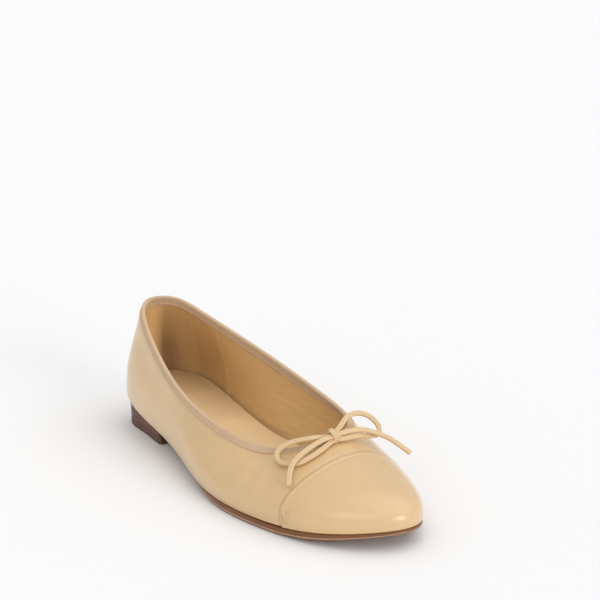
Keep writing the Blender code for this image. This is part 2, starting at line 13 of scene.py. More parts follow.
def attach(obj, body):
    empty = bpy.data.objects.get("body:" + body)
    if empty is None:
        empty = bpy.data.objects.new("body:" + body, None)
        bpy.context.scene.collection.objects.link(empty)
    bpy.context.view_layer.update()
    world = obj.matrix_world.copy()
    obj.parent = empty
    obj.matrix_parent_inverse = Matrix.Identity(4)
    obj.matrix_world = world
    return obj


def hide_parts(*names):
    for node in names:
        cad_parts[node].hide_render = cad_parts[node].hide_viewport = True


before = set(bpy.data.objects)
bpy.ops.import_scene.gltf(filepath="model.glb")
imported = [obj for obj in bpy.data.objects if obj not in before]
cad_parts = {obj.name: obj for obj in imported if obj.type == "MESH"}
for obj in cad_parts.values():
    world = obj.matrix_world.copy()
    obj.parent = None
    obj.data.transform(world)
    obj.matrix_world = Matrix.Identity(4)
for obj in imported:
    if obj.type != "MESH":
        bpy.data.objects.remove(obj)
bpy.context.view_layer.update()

MM = 0.001
DOWN = np.array([0.0, 0.0, -1.0])

# --- Sizes that the shapes share, as in the frame -------------------------------------------------
LAST_BACK = -27.0 * MM  # x of the last's back point; lengths along the shoe are measured from it
BREAST = 50.9 * MM  # front of the heel
UPPER_OUTSIDE = 2.0 * MM  # distance of the upper's outer face from the last
UPPER_INSIDE = 1.0 * MM
COUNTER_ROOM = 1.1 * MM  # how far the upper swells over the heel counter
BOTTOM_ROLL = 0.6 * MM
SKIVED_UNDER_RIBBON = 0.6 * MM  # how much thinner the upper is under the ribbon
SKIVED_BESIDE_RIBBON = 0.3 * MM  # and how far the ribbon pulls the leather below it in
CAP_OUTSIDE = 2.7 * MM
CAP_INSIDE = 1.6 * MM
LINING = 0.6 * MM
GAP = 0.3 * MM
OUTSOLE_FRONT = 3.6 * MM
OUTSOLE_WAIST = 2.5 * MM
OUTSOLE_PROUD = 3.0 * MM  # sole edge beyond the feather edge in front
TOE_TAPER = 1.5 * MM  # how much thinner the sole is at the tip of the toe
HEEL_BACK = 4.4 * MM  # heel's edge beyond the feather edge at the back, and at its sides
HEEL_SIDE = -2.2 * MM
WAIST_SIDE = -1.2 * MM  # the sole's edge at the waist
BALL_HEIGHT = UPPER_OUTSIDE + GAP + OUTSOLE_FRONT
SEAT_RISE = 14.3 * MM
TOE_SPRING = 7.6 * MM
MARGIN = 9.0 * MM  # how far the upper is drawn in under the insole board
TOP_PIECE = 4.0 * MM
LIFTS = 3
LIFT_STEP = 0.15 * MM  # how far each lift stands in from the one above
TOP_PIECE_INSET = 0.3 * MM
CAP_SEAM = 190.0 * MM
LINING_SEAM = 38.0 * MM
KNOT_AT = np.array([179.2, 3.6, 40.9]) * MM

# The last: feather edge x, y; topline x, y, z (millimetres); lean and reach of the wall at the feather
# edge; slope and hold of the wall at the topline. One row for each place round the foot, outer side first.
LAST = np.array(
    [
        (1.6, 0.0, 5.8, 0.0, 71.0, 84, 19, 68, 20),  # back of the heel
        (8.4, -18.2, 10.4, -11.0, 69.0, 85, 18, 76, 19),
        (33.3, -26.5, 30.5, -19.0, 58.9, 73, 15, 80, 16),
        (80.0, -31.4, 74.0, -28.2, 44.6, 64, 13, 82, 13),  # outer waist
        (117.5, -39.2, 115.0, -30.3, 36.0, 63, 12, 76, 12),
        (151.0, -41.0, 146.0, -26.8, 32.6, 64, 12, 58, 13),  # outer ball
        (184.0, -35.0, 163.0, -19.6, 32.6, 68, 12, 38, 18),
        (214.0, -22.0, 172.0, -9.5, 34.9, 72, 12, 26, 28),
        (235.3, 4.0, 175.0, 2.5, 36.5, 76, 12, 20, 36),  # toe tip, throat
        (224.5, 22.0, 173.0, 13.0, 37.4, 72, 11.5, 27, 27),
        (201.5, 32.0, 164.5, 23.3, 37.9, 67, 11.5, 43, 18),
        (174.0, 36.3, 147.5, 30.0, 39.2, 64, 12, 60, 14),  # inner ball
        (132.0, 29.0, 116.0, 31.0, 43.8, 62, 12, 78, 12),
        (92.0, 22.0, 75.0, 27.6, 51.9, 66, 13, 82, 13),  # arch
        (33.5, 25.3, 30.5, 18.5, 63.1, 71, 15, 78, 16),
        (8.0, 18.6, 11.0, 10.8, 69.5, 82, 18, 74, 19),
    ]
)

# The lace's routes from the knot, as in the frame: millimetres from the last's back point.
LOOP_OUTER = [(176.8, 0.0, 40.4), (176.3, -7.5, 41.3), (171.0, -14.8, 39.4), (168.7, -20.0, 37.2),
              (168.4, -23.6, 34.2), (171.9, -25.2, 31.8), (176.6, -24.0, 31.3), (181.9, -19.2, 32.4),
              (183.2, -12.2, 34.9), (182.6, -6.0, 36.8), (180.9, -0.2, 38.3)]
LOOP_INNER = [(177.0, 7.4, 42.6), (176.0, 10.6, 44.4), (172.5, 16.5, 46.2), (170.8, 24.0, 46.4),
              (173.5, 29.2, 44.8), (178.5, 31.5, 41.5), (182.4, 30.2, 38.6), (183.0, 26.0, 37.4),
              (181.6, 17.5, 38.8), (180.9, 7.6, 39.0)]
TAIL_OUTER = [(180.0, -0.4, 41.0), (180.2, -5.0, 40.4), (180.2, -10.2, 38.8), (181.0, -17.6, 36.2),
              (182.4, -23.2, 33.4), (184.6, -26.8, 29.8), (189.2, -30.4, 25.6)]
TAIL_INNER = [(179.8, 7.6, 41.6), (180.2, 13.2, 41.9), (182.0, 21.3, 41.3), (188.8, 30.2, 37.6),
              (194.8, 34.0, 34.2), (199.6, 37.2, 30.9)]


# --- Camera ---------------------------------------------------------------------------------------
CAMERA_AT = (0.7944, -0.4519, 0.3502)
LOOKS_DOWN = 16.776  # degrees below the horizon
TURNED = 55.892  # degrees from looking along +Y towards -X


def camera():
    """A 100 mm lens from the toe's outer side, a little above the shoe."""
    data = bpy.data.cameras.new("camera")
    data.sensor_width = 36.0
    data.lens = 99.8
    made = bpy.data.objects.new("camera", data)
    made.location = CAMERA_AT
    made.rotation_euler = (math.radians(90 - LOOKS_DOWN), 0, math.radians(TURNED))
    bpy.context.scene.collection.objects.link(made)
    bpy.context.scene.camera = made


camera()


# --- The last -------------------------------------------------------------------------------------
def unit(vectors):
    return vectors / np.linalg.norm(vectors, axis=-1, keepdims=True)


def smooth(x, low, high):
    """0 below low, 1 above high, eased between."""
    u = np.clip((x - low) / (high - low), 0, 1)
    return u * u * (3 - 2 * u)


def hump(x, middle, half):
    """1 at the middle, eased to 0 at half away from it."""
    return 1 - smooth(np.abs(x - middle), 0, half)


def closed_spline(knots, at):
    """Places 0 to 1 along the smooth closed curve through evenly spaced knots."""
    knots = np.asarray(knots, float)
    count = len(knots)
    ring = np.eye(count)
    system = 4 * ring + np.roll(ring, 1, 0) + np.roll(ring, -1, 0)
    slope = np.linalg.solve(system, 3 * (np.roll(knots, -1, 0) - np.roll(knots, 1, 0)))
    place = np.mod(at, 1.0) * count
    first = np.floor(place).astype(int) % count
    second = (first + 1) % count
    u = (place - np.floor(place))[..., None]
    return (
        (2 * u**3 - 3 * u**2 + 1) * knots[first]
        + (u**3 - 2 * u**2 + u) * slope[first]
        + (3 * u**2 - 2 * u**3) * knots[second]
        + (u**3 - u**2) * slope[second]
    )


def sole_height(x):
    """Height of the insole board's underside, x from the last's back point."""
    seat = np.clip((150 * MM - x) / (148 * MM), 0, None) ** 1.6
    toe = np.clip((x - 160 * MM) / (75 * MM), 0, None) ** 2
    return BALL_HEIGHT + SEAT_RISE * seat + TOE_SPRING * toe


def outward(t, columns=slice(0, 2), step=1e-4):
    """Level direction away from the foot, round the feather edge or another pair of the last's columns."""
    along = closed_spline(LAST[:, columns], t + step) - closed_spline(LAST[:, columns], t - step)
    return unit(np.stack([along[..., 1], -along[..., 0], 0 * along[..., 0]], -1))


def feather(t):
    flat = closed_spline(LAST[:, :2], t) * MM
    return np.stack([flat[..., 0], flat[..., 1], sole_height(flat[..., 0])], -1)


def wall(t, s):
    """The last's side, from the feather edge at s = 0 to the topline at s = 1."""
    lean, reach, slope, hold = np.moveaxis(closed_spline(LAST[:, 5:9], t), -1, 0)
    lean, slope = np.radians(lean)[..., None], np.radians(slope)[..., None]
    low = feather(t)
    high = closed_spline(LAST[:, 2:5], t) * MM
    a = low + reach[..., None] * MM * (np.cos(lean) * outward(t) - np.sin(lean) * DOWN)
    b = high + hold[..., None] * MM * (np.cos(slope) * outward(t, slice(2, 4)) + np.sin(slope) * DOWN)
    s = np.asarray(s, float)[..., None]
    return (1 - s) ** 3 * low + 3 * (1 - s) ** 2 * s * a + 3 * (1 - s) * s**2 * b + s**3 * high


def wall_frame(t, s, step=1e-3):
    """Outward normal and upward direction on the last's side."""
    low, high = np.clip(s - step, 0, 1), np.clip(s + step, 0, 1)
    up = unit(wall(t, high) - wall(t, low))
    along = wall(t + step, s) - wall(t - step, s)
    return unit(np.cross(along, up)), up


def skin(t, s, distance):
    """A place at a distance outside the last: s = 0 to 1 up the wall, 0 to -1 round the feather edge, and
    -1 to -2 in under the insole board."""
    t, s, distance = np.broadcast_arrays(np.asarray(t, float), np.asarray(s, float), distance)
    up_wall = np.clip(s, 0, 1)
    normal, _ = wall_frame(t, up_wall)
    turn = np.clip(-s, 0, 1)[..., None]
    normal = unit((1 - turn) * normal + turn * DOWN)
    point = wall(t, up_wall)
    inward = np.clip(-1 - s, 0, 1)[..., None] * MARGIN
    under = point - inward * outward(t)
    under[..., 2] = sole_height(under[..., 0])
    point = np.where(inward > 0, under, point)
    return point + distance[..., None] * normal


def feather_at(x, low, high):
    """Place between low and high where the feather edge passes x."""
    rising = feather(np.array(high))[0] > feather(np.array(low))[0]
    for _ in range(50):
        middle = (low + high) / 2
        if (feather(np.array(middle))[0] < x) == rising:
            low = middle
        else:
            high = middle
    return (low + high) / 2


def wall_at(t, x):
    """How far up the wall the meridian t passes x, 0 where it starts behind x."""
    low, high = np.zeros_like(t), np.ones_like(t)
    for _ in range(30):
        middle = (low + high) / 2
        ahead = wall(t, middle)[..., 0] > x
        low, high = np.where(ahead, middle, low), np.where(ahead, high, middle)
    return np.where(feather(t)[..., 0] > x, low, 0.0)


CAP_OUTER, CAP_INNER = feather_at(CAP_SEAM, 0.30, 0.48), feather_at(CAP_SEAM, 0.52, 0.72)
SEAM_OUTER, SEAM_INNER = feather_at(LINING_SEAM, 0.10, 0.30), feather_at(LINING_SEAM, 0.72, 0.92)


def lengths(points):
    """Distance along a row of points."""
    return np.concatenate([[0], np.cumsum(np.linalg.norm(np.diff(points, axis=0), axis=1))])


def even_places(curve, low, high, count, fine=4000):
    """Parameters from low to high at even distances along a curve, the first and last included."""
    at = np.linspace(low, high, fine)
    along = lengths(curve(at))
    return np.interp(np.linspace(0, along[-1], count), along, at)


def rough(points, size, seed=0.0, stretch=(1, 1, 1)):
    """Smooth noise about zero with features of a size."""
    flat = np.reshape(points, (-1, 3)) / (size * np.array(stretch)) + seed
    values = [noise.noise(Vector(point)) for point in flat]
    return np.reshape(values, np.shape(points)[:-1])


# --- Meshes ---------------------------------------------------------------------------------------
def in_frame(points):
    """Points as measured from the last's back point, in the frame."""
    return np.asarray(points, float) + np.array([LAST_BACK, 0, 0])


WELD = 0.004 * MM


def grid_mesh(name, points, around=True):
    """A mesh on a grid of points: the first index runs round the foot, or from end to end with the ends
    filled; the second runs round the section."""
    count, across = points.shape[:2]
    index = np.arange(count * across).reshape(count, across)
    first, after = (index, np.roll(index, -1, 0)) if around else (index[:-1], index[1:])
    first, after = np.hstack([first, first[:, :1]]), np.hstack([after, after[:, :1]])
    quads = np.stack([first[:, :-1], after[:, :-1], after[:, 1:], first[:, 1:]], -1).reshape(-1, 4)
    mesh = bpy.data.meshes.new(name)
    mesh.from_pydata(in_frame(points.reshape(-1, 3)).tolist(), [], quads.tolist())
    bm = bmesh.new()
    bm.from_mesh(mesh)
    bmesh.ops.remove_doubles(bm, verts=bm.verts[:], dist=WELD)
    bmesh.ops.dissolve_degenerate(bm, edges=bm.edges[:], dist=WELD)
    if not around:
        bmesh.ops.holes_fill(bm, edges=[edge for edge in bm.edges if edge.is_boundary], sides=0)
    bmesh.ops.recalc_face_normals(bm, faces=bm.faces[:])
    bm.to_mesh(mesh)
    bm.free()
    return mesh


def place(name, mesh, finish, slot, replaced=(), angle=50):
    """A finished piece that rides on the frame."""
    mesh.shade_smooth()
    mesh.set_sharp_from_angle(angle=math.radians(angle))
    mesh.materials.clear()
    mesh.materials.append(finish)
    made = bpy.data.objects.new(name, mesh)
    bpy.context.scene.collection.objects.link(made)
    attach(made, "root")
    if replaced:
        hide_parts(*replaced)
    return made


def shell(t, outer_s, outer_distance, inner_s, inner_distance):
    """Points of a closed leather: up its outer face and down its inner face."""
    outer = skin(t[:, None], outer_s, outer_distance)
    inner = skin(t[:, None], inner_s, inner_distance)
    return np.concatenate([outer, inner[:, ::-1]], axis=1)


# --- Materials ------------------------------------------------------------------------------------
class Nodes:
    """A short way to write one material's nodes."""

    def __init__(self, name):
        self.material = bpy.data.materials.new(name)
        self.material.use_nodes = True
        self.tree = self.material.node_tree
        self.shader = self.tree.nodes["Principled BSDF"]
        self.where = self.add("ShaderNodeTexCoord").outputs["Object"]

    def add(self, kind, **values):
        node = self.tree.nodes.new(kind)
        for key, value in values.items():
            setattr(node, key, value)
        return node

    def join(self, source, target):
        self.tree.links.new(source, target)

    def put(self, value, socket):
        """Give a socket a number, a colour or another socket's value."""
        if isinstance(value, (int, float)):
            socket.default_value = value
        elif isinstance(value, tuple):
            socket.default_value = (*value, 1)
        else:
            self.join(value, socket)

    def axes(self):
        """Sockets X, Y and Z of the place in the frame."""
        node = self.add("ShaderNodeSeparateXYZ")
        self.join(self.where, node.inputs["Vector"])
        return node.outputs

    def stretched(self, scale):
        node = self.add("ShaderNodeMapping")
        node.inputs["Scale"].default_value = scale
        self.join(self.where, node.inputs["Vector"])
        return node.outputs["Vector"]

    def noise(self, size, detail=3.0, roughness=0.5, where=None):
        node = self.add("ShaderNodeTexNoise")
        node.inputs["Scale"].default_value = 1 / size
        node.inputs["Detail"].default_value = detail
        node.inputs["Roughness"].default_value = roughness
        self.join(where or self.where, node.inputs["Vector"])
        return node.outputs["Fac"]

    def cells(self, size):
        """Distance to the edges of small cells: leather pores."""
        node = self.add("ShaderNodeTexVoronoi", feature="DISTANCE_TO_EDGE")
        node.inputs["Scale"].default_value = 1 / size
        self.join(self.where, node.inputs["Vector"])
        return node.outputs["Distance"]

    def range(self, source, low, high, to_low, to_high):
        node = self.add("ShaderNodeMapRange")
        for socket, value in (("From Min", low), ("From Max", high), ("To Min", to_low), ("To Max", to_high)):
            node.inputs[socket].default_value = value
        self.join(source, node.inputs["Value"])
        return node.outputs["Result"]

    def math(self, operation, a, b=0.0):
        node = self.add("ShaderNodeMath", operation=operation)
        self.put(a, node.inputs[0])
        self.put(b, node.inputs[1])
        return node.outputs["Value"]

    def mix(self, share, a, b):
        node = self.add("ShaderNodeMix", data_type="RGBA")
        for socket, value in (("Factor", share), ("A", a), ("B", b)):
            self.put(value, node.inputs[socket])
        return node.outputs["Result"]

    def bump(self, height, depth, after=None):
        node = self.add("ShaderNodeBump")
        node.inputs["Strength"].default_value = 1.0
        node.inputs["Distance"].default_value = depth
        self.join(height, node.inputs["Height"])
        if after:
            self.join(after, node.inputs["Normal"])
        return node.outputs["Normal"]

    def finish(self, colour, roughness, normal=None, **constants):
        for socket, value in (("Base Color", colour), ("Roughness", roughness), ("Normal", normal)):
            if value is not None:
                self.put(value, self.shader.inputs[socket])
        for socket, value in constants.items():
            self.shader.inputs[socket.replace("_", " ")].default_value = value
        return self.material


def tone(colour, share):
    return tuple(min(1.0, channel * share) for channel in colour)


# Grime and painted shade in the heel cup: the colour that the lining and sock darken towards.
GRIME_AND_SHADE_DARK = (0.205, 0.105, 0.032)
SCUFF_PALE = (0.66, 0.50, 0.38)


def grime_and_shade_at_heel(n, clouds, shade, most, corner, reach, side):
    """Grime and painted shade: at most a share darker at the heel and lower down, none at x = reach; more in
    the heel's inner corner, mostly painted shade there; and only beyond the two places on Y."""
    x, y, z = n.axes()
    back = n.math("ADD", x, n.math("MULTIPLY", clouds, 24 * MM))
    near_heel = n.range(back, -12 * MM, reach, most, 0.0)
    from_outer = n.range(y, -1 * MM, 6 * MM, 0.0, corner)
    from_inner = n.range(y, 9 * MM, 20 * MM, corner, 0.0)
    corner_shade_and_grime = n.math("MINIMUM", from_outer, from_inner)
    corner_shade_and_grime = n.math("MULTIPLY", corner_shade_and_grime, n.range(x, -16 * MM, -6 * MM, 1.0, 0.0))
    low = n.range(z, 38 * MM, 74 * MM, 1.0, 0.25)
    share = n.math("MULTIPLY", n.math("ADD", near_heel, corner_shade_and_grime), low)
    share = n.math("MULTIPLY", share, n.range(y, *side, 0.12, 1.0))
    return n.mix(share, shade, GRIME_AND_SHADE_DARK)


def calf(name, colour, roughness, grain, depth, coat=0.0, cloud=0.06, worn=None, line=None):
    """Dyed leather: faint clouds of colour, fine pores and a sheen that varies a little. It may be darker at
    the heel, from grime and painted shade, and darker along a line at one x, which is painted shade."""
    n = Nodes(name)
    clouds = n.noise(28 * MM, 4, 0.55)
    speck = n.noise(2.2 * MM, 3, 0.6)
    shade = n.mix(clouds, tone(colour, 1 - cloud), tone(colour, 1 + cloud))
    # worn: grime and painted shade at the heel.
    if worn:
        shade = grime_and_shade_at_heel(n, clouds, shade, **worn)
    # Painted shade: the leather a little darker just behind the cap's folded edge, where the seam's crevice
    # is shaded.
    if line:
        beside = n.math("ABSOLUTE", n.math("SUBTRACT", n.axes()["X"], line))
        shade = n.mix(n.range(beside, 0.15 * MM, 0.75 * MM, 0.42, 0.0), shade, tone(colour, 0.5))
    shade = n.mix(n.range(speck, 0.3, 0.7, 0.0, 0.05), shade, tone(colour, 0.6))
    pores = n.range(n.cells(grain), 0.0, 0.25, 0.0, 1.0)
    fine = n.bump(pores, depth)
    relief = n.bump(n.noise(4.5 * MM, 3, 0.55), 0.10 * MM, fine)
    gloss = n.range(n.noise(9 * MM, 3), 0.3, 0.7, roughness - 0.05, roughness + 0.06)
    return n.finish(shade, gloss, relief, Coat_Weight=coat, Coat_Roughness=0.21)


def ribbon_cloth(name, colour):
    n = Nodes(name)
    threads = n.noise(0.25 * MM, 2, 0.6)
    patches = n.noise(12 * MM, 3, 0.5)
    shade = n.mix(patches, tone(colour, 0.93), tone(colour, 1.06))
    shade = n.mix(n.range(threads, 0.35, 0.65, 0.0, 0.25), shade, tone(colour, 0.7))
    return n.finish(shade, 0.72, n.bump(threads, 0.03 * MM), Sheen_Weight=0.25, Sheen_Roughness=0.4)


def thread(name, colour):
    n = Nodes(name)
    twist = n.noise(0.3 * MM, 2, 0.5, n.stretched((1, 1, 2)))
    shade = n.mix(twist, tone(colour, 0.85), tone(colour, 1.1))
    return n.finish(shade, 0.6, n.bump(twist, 0.04 * MM))


def burnished(name, colour, layer=None, roughness=0.32, worn=0.0, coat=0.3, breast=None):
    """The waxed cut edge of sole leather: fine layers, streaks and, where worn, pale scuffs. Beyond the
    heel's breast at an x it is darker: painted shade under the waist."""
    n = Nodes(name)
    streaks = n.noise(1.6 * MM, 4, 0.6, n.stretched((0.25, 0.25, 2.5)))
    clouds = n.noise(14 * MM, 3, 0.5)
    shade = n.mix(clouds, tone(colour, 0.75), tone(colour, 1.3))
    shade = n.mix(n.range(streaks, 0.35, 0.7, 0.0, 0.45), shade, tone(colour, 1.9))
    if layer:
        wave = n.math("FRACT", n.math("DIVIDE", n.axes()["Z"], layer))
        line = n.math("LESS_THAN", wave, 0.10)
        shade = n.mix(n.math("MULTIPLY", line, 0.45), shade, tone(colour, 0.35))
    # Painted shade on the heel's breast, which sits in shadow under the waist.
    if breast:
        ahead = n.range(n.axes()["X"], breast - 1.6 * MM, breast - 1.0 * MM, 0.0, 0.6)
        shade = n.mix(ahead, shade, tone(colour, 0.3))
    if worn:
        scuff = n.range(n.noise(0.9 * MM, 5, 0.7), 0.58, 0.68, 0.0, worn)
        patch = n.range(n.noise(17 * MM, 2, 0.5), 0.44, 0.58, 0.0, 1.0)
        shade = n.mix(n.math("MULTIPLY", scuff, patch), shade, SCUFF_PALE)
    gloss = n.range(streaks, 0.3, 0.7, roughness - 0.07, roughness + 0.12)
    return n.finish(shade, gloss, n.bump(streaks, 0.05 * MM), Coat_Weight=coat, Coat_Roughness=0.15)


def rubbery(name, colour):
    n = Nodes(name)
    dust = n.noise(3 * MM, 4, 0.65)
    shade = n.mix(n.range(dust, 0.4, 0.75, 0.0, 0.3), colour, tone(colour, 2.2))
    return n.finish(shade, 0.62, n.bump(n.noise(0.6 * MM, 3), 0.04 * MM))


def inner_stuff(name, colour, size, roughness=0.9, metallic=0.0):
    """Board, cork, foam, felt or steel inside the shoe."""
    n = Nodes(name)
    fleck = n.noise(size, 4, 0.65)
    shade = n.mix(fleck, tone(colour, 0.7), tone(colour, 1.25))
    return n.finish(shade, roughness, n.bump(fleck, 0.15 * size), Metallic=metallic)


BEIGE = (0.688, 0.462, 0.224)
GLOSSY = {"grain": 0.35 * MM, "depth": 0.012 * MM, "coat": 0.95}
# The line is painted shade along the vamp's side of the cap seam.
CALF = calf("upper_calf", BEIGE, 0.42, **GLOSSY, line=CAP_SEAM + LAST_BACK - 0.3 * MM)
CAP_CALF = calf("cap_calf", BEIGE, 0.42, **GLOSSY)
LACE_CALF = calf("lace_calf", (0.71, 0.515, 0.295), 0.50, grain=0.45 * MM, depth=0.03 * MM, cloud=0.05)
RIBBON = ribbon_cloth("ribbon_cloth", (0.625, 0.455, 0.295))
THREAD = thread("beige_thread", (0.78, 0.58, 0.36))
PALE_THREAD = thread("pale_thread", (0.95, 0.78, 0.54))
LINING_THREAD = thread("lining_thread", (0.55, 0.36, 0.19))
LINING_CALF = calf(
    "lining_calf",
    (0.71, 0.46, 0.205),
    0.52,
    grain=0.6 * MM,
    depth=0.02 * MM,
    cloud=0.12,
    # Darker in the heel cup and its inner corner: grime and painted shade.
    worn={"most": 0.48, "corner": 0.58, "reach": 44 * MM, "side": (-2 * MM, 6 * MM)},
)
SOCK_CALF = calf(
    "sock_calf",
    (0.86, 0.63, 0.345),
    0.50,
    grain=0.5 * MM,
    depth=0.015 * MM,
    cloud=0.07,
    # Darker at the heel: grime and painted shade.
    worn={"most": 0.70, "corner": 0.0, "reach": 66 * MM, "side": (-8 * MM, 5 * MM)},
)
SOLE_EDGE = burnished("sole_edge", (0.145, 0.050, 0.009), worn=0.35, coat=0.12)
# Paler edge for the sole's ridge: real scuffs and a painted highlight line in place of its gloss.
SCUFFED_GLOSS_EDGE = burnished("scuffed_gloss_edge", (0.36, 0.205, 0.12), worn=1.0)
STACK = burnished(
    # The breast is darkened with painted shade.
    "heel_stack", (0.115, 0.050, 0.027), layer=1.3 * MM, roughness=0.5, coat=0.05, breast=BREAST + LAST_BACK
)
RUBBER = rubbery("heel_rubber", (0.115, 0.052, 0.030))
INNER = {
    "heel_counter": inner_stuff("felt_counter", (0.75, 0.70, 0.60), 1 * MM),
    "toe_puff": inner_stuff("felt_puff", (0.75, 0.70, 0.60), 1 * MM),
    "insole_board": inner_stuff("fibre_board", (0.45, 0.33, 0.20), 1.5 * MM),
    "bottom_filler": inner_stuff("ground_cork", (0.42, 0.26, 0.13), 2 * MM),
    "heel_pad": inner_stuff("latex_foam", (0.85, 0.80, 0.68), 0.8 * MM),
    "topline_cord": inner_stuff("cotton_cord", (0.80, 0.76, 0.68), 0.5 * MM),
    "steel": inner_stuff("plain_steel", (0.60, 0.60, 0.60), 0.7 * MM, 0.35, 1.0),
}


# --- Bow ------------------------------------------------------------------------------------------
def smooth_route(points, spacing):
    """Points a spacing apart on the smooth curve through a few route points."""
    points = np.asarray(points, float)
    ends = np.vstack([2 * points[0] - points[1], points, 2 * points[-1] - points[-2]])
    fine = []
    for a, b, c, d in zip(ends, ends[1:], ends[2:], ends[3:]):
        for u in np.linspace(0, 1, 40, endpoint=False):
            bend, twist = 2 * a - 5 * b + 4 * c - d, 3 * b - a - 3 * c + d
            fine.append(0.5 * (2 * b + (c - a) * u + bend * u**2 + twist * u**3))
    fine = np.array(fine + [points[-1]])
    for _ in range(60):
        fine[1:-1] += 0.25 * (fine[2:] - 2 * fine[1:-1] + fine[:-2])
    along = lengths(fine)
    places = np.linspace(0, along[-1], max(2, round(along[-1] / spacing)) + 1)
    return np.stack([np.interp(places, along, fine[:, k]) for k in range(3)], -1)


LACE_WIDE = 1.36 * MM  # half the folded lace's width and thickness
LACE_THICK = 1.10 * MM
LACE_SIDES = 28
LACE_STEP = 0.45 * MM  # between the sections along it


def lace_section():
    """A strip folded to a flat oval, its edges meeting in a groove on the upper face."""
    angle = np.linspace(0, 2 * math.pi, LACE_SIDES, endpoint=False)
    across = LACE_WIDE * np.sign(np.cos(angle)) * np.abs(np.cos(angle)) ** 0.85
    rise = LACE_THICK * np.sign(np.sin(angle)) * np.abs(np.sin(angle)) ** 0.8
    groove = np.exp(-((across / (0.28 * MM)) ** 2)) * (np.sin(angle) > 0)
    return across, rise - 0.42 * MM * groove


def lace_mesh(name, route, facing):
    """The lace along a route, its grooved face turned towards a direction, its last end cut square."""
    along = unit(np.gradient(route, axis=0))
    face = np.asarray(facing, float) - np.sum(along * facing, -1, keepdims=True) * along
    face = unit(face)
    side = np.cross(along, face)
    across, rise = lace_section()
    swell = 1 + 0.035 * rough(route, 4 * MM, 3.0) + 0.02 * rough(route, 1.2 * MM, 9.0)
    ring = across[None, :, None] * side[:, None, :] + rise[None, :, None] * face[:, None, :]
    points = route[:, None, :] + swell[:, None, None] * ring
    rings = []
    for end, out, blunt in ((0, -along[0], 0.3 * MM), (-1, along[-1], 0.12 * MM)):
        middle = route[end]
        inner = middle + (points[end] - middle) * 0.90 + out * blunt
        hollow = middle + (points[end] - middle) * 0.5 + out * (blunt - 0.10 * MM)
        rings.append((inner, hollow))
    (a, b), (c, d) = rings
    points = np.concatenate([[b], [a], points, [c], [d]])
    return grid_mesh(name, points, around=False)


def settle(route, start, finish=None):
    """A route run on into the knot."""
    return np.array([start, *route] + ([] if finish is None else [finish]), float) * MM


def bow():
    knot = KNOT_AT / MM
    loop_outer = settle(LOOP_OUTER, knot + (-1.2, 0, 0.6), knot + (0.9, 0, -1.6))
    loop_inner = settle(LOOP_INNER, knot + (-1.0, 0, 0.8), knot + (0.9, 0, -1.2))
    tail_outer = settle(TAIL_OUTER, knot + (0.6, 0, 0.2))
    tail_inner = settle(TAIL_INNER, knot + (0.3, 0, 0.4))
    laces = (
        ("bow_loop_outer", loop_outer, (0.45, -0.1, 0.9), "object"),
        ("bow_loop_inner", loop_inner, (0.6, -0.3, 0.8), "object"),
        ("bow_tail_outer", tail_outer, (0.45, -0.45, 0.8), "bare"),
        ("bow_tail_inner", tail_inner, (0.45, -0.1, 0.9), "bare"),
    )
    for name, corners, facing, far_end in laces:
        route = smooth_route(corners, LACE_STEP)
        length = float(lengths(route)[-1])
        mesh = lace_mesh(name + "_lace", route, facing)
        piece = place(name + "_lace", mesh, LACE_CALF, "lace_leather", [name])


# The strip wrapped round the crossing, and its end tucked in beside the wrap: place on Y, half the width and
# half the height (millimetres), lean and slant.
WRAPS = ((-0.35, 1.9, 3.2, 0.42, 0.30), (1.75, 1.5, 1.9, 0.20, -0.3))


def knot():
    """The knot over the crossing of the laces: two short closed bands."""
    turn = np.linspace(0, 2 * math.pi, 72, endpoint=False)
    for k, (shift, wide, tall, lean, slant) in enumerate(WRAPS):
        y = shift * MM + slant * MM * np.sin(turn + 0.6) - lean * tall * MM * np.sin(turn)
        ring = np.stack([wide * MM * np.cos(turn) + 0.18 * y, y, tall * MM * np.sin(turn)], -1)
        route = KNOT_AT + ring
        centre = KNOT_AT + np.array([0, shift * MM, 0])
        mesh = knot_band(f"knot_wrap_{k + 1}", route, centre)
        place(f"knot_wrap_{k + 1}", mesh, LACE_CALF, "lace_leather", ["bow_knot"])


def knot_band(name, route, centre):
    """The lace's section round a closed route, its grooved face away from the centre."""
    along = unit(np.roll(route, -1, 0) - np.roll(route, 1, 0))
    out = route - centre
    out = unit(out - np.sum(out * along, -1, keepdims=True) * along)
    side = np.cross(along, out)
    across, rise = lace_section()
    ring = across[None, :, None] * side[:, None, :] + rise[None, :, None] * out[:, None, :]
    return grid_mesh(name, route[:, None, :] + ring)


bow()
knot()


# --- Upper and cap --------------------------------------------------------------------------------
def heel_share(t):
    """How far round the foot a place is from the back of the heel, either way."""
    return np.minimum(np.mod(t, 1), 1 - np.mod(t, 1))


def soft_form(t, s):
    """How far the worn leather stands in or out of its smooth shape."""
    point = wall(t, np.clip(s, 0, 1))
    x, y = point[..., 0], point[..., 1]
    middle = smooth(s, 0.02, 0.2) * (1 - smooth(s, 0.9, 1.0))
    out = 0.16 * MM * rough(point, 17 * MM, 1.7) + 0.07 * MM * rough(point, 7 * MM, 5.1)
    outer_side = smooth(-y, 8 * MM, 22 * MM)
    folds = np.cos(2 * math.pi * (x - 158 * MM + 4 * MM * s) / (13 * MM)) * hump(x, 165 * MM, 24 * MM)
    out = out + 0.19 * MM * outer_side * folds * smooth(s, 0.2, 0.55)
    dent = hump(x, 156 * MM, 12 * MM) * hump(s, 0.86, 0.2) * outer_side
    return middle * (out - 0.7 * MM * dent)


def wall_scale(t):
    """Length of the wall for each unit of s at the topline."""
    return np.linalg.norm(wall(t, np.ones_like(t)) - wall(t, np.full_like(t, 0.99)), axis=-1) / 0.01


def bottom_roll(s):
    """How far the leather swells over the sole's edge."""
    return BOTTOM_ROLL * hump(s, -0.28, 0.58)


